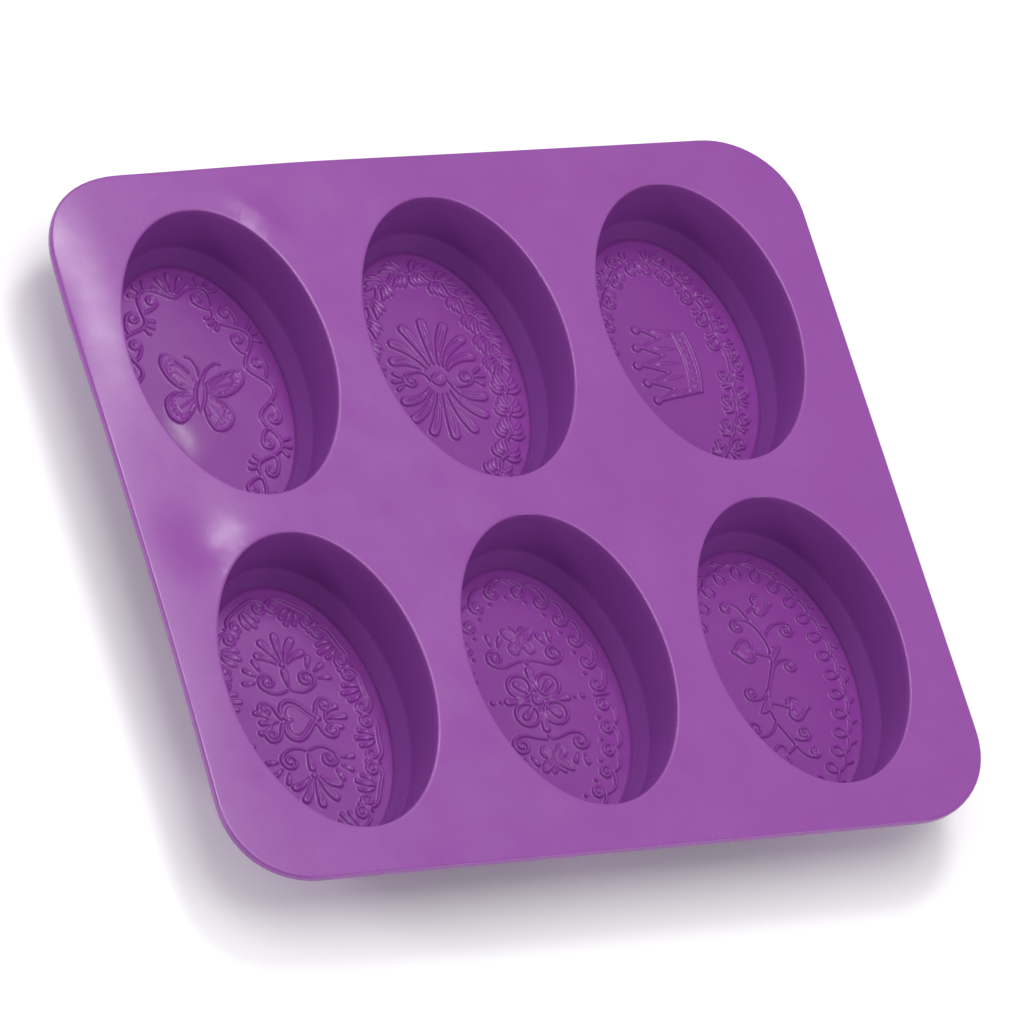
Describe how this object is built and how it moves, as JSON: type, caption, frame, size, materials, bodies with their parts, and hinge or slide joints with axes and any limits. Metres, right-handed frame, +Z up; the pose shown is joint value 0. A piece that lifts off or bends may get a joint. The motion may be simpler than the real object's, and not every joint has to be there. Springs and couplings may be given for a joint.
{
  "type": "silicone soap mould",
  "caption": "Flexible purple tray mould with oval cups in two rows, each with a raised ornament on its floor that prints into the soap bar.",
  "frame": {"origin": "under the middle of the tray, on the surface it rests on", "axes": "+Z up out of the mouths, +X across the three columns, +Y along the two rows and the ovals' long axis"},
  "size_m": [0.21, 0.198, 0.024],
  "materials": {
    "deck_silicone": "semi-gloss moulded silicone",
    "cup_silicone": "semi-gloss moulded silicone",
    "base_silicone": "semi-gloss moulded silicone"
  },
  "bodies": {
    "tray": {"butterfly_collar": "deck_silicone", "butterfly_wall": "cup_silicone", "butterfly_heel": "cup_silicone", "plume_collar": "deck_silicone", "plume_wall": "cup_silicone", "plume_heel": "cup_silicone", "crown_collar": "deck_silicone", "crown_wall": "cup_silicone", "crown_heel": "cup_silicone", "heart_collar": "deck_silicone", "heart_wall": "cup_silicone", "heart_heel": "cup_silicone", "garland_collar": "deck_silicone", "garland_wall": "cup_silicone", "garland_heel": "cup_silicone", "vine_collar": "deck_silicone", "vine_wall": "cup_silicone", "vine_heel": "cup_silicone"},
    "butterfly_base": {"butterfly_floor": "base_silicone", "butterfly_border": "base_silicone", "butterfly_motif": "base_silicone"},
    "plume_base": {"plume_floor": "base_silicone", "plume_border": "base_silicone", "plume_motif": "base_silicone"},
    "crown_base": {"crown_floor": "base_silicone", "crown_border": "base_silicone", "crown_motif": "base_silicone"},
    "heart_base": {"heart_floor": "base_silicone", "heart_border": "base_silicone", "heart_motif": "base_silicone"},
    "garland_base": {"garland_floor": "base_silicone", "garland_border": "base_silicone", "garland_motif": "base_silicone"},
    "vine_base": {"vine_floor": "base_silicone", "vine_border": "base_silicone", "vine_motif": "base_silicone"}
  },
  "joints": [
    {"name": "butterfly_push", "type": "slide", "parent": "tray", "child": "butterfly_base", "axis": [0, 0, 1], "range_m": [0, 0.01], "stiffness_N_per_m": 400},
    {"name": "plume_push", "type": "slide", "parent": "tray", "child": "plume_base", "axis": [0, 0, 1], "range_m": [0, 0.01], "stiffness_N_per_m": 400},
    {"name": "crown_push", "type": "slide", "parent": "tray", "child": "crown_base", "axis": [0, 0, 1], "range_m": [0, 0.01], "stiffness_N_per_m": 400},
    {"name": "heart_push", "type": "slide", "parent": "tray", "child": "heart_base", "axis": [0, 0, 1], "range_m": [0, 0.01], "stiffness_N_per_m": 400},
    {"name": "garland_push", "type": "slide", "parent": "tray", "child": "garland_base", "axis": [0, 0, 1], "range_m": [0, 0.01], "stiffness_N_per_m": 400},
    {"name": "vine_push", "type": "slide", "parent": "tray", "child": "vine_base", "axis": [0, 0, 1], "range_m": [0, 0.01], "stiffness_N_per_m": 400}
  ]
}
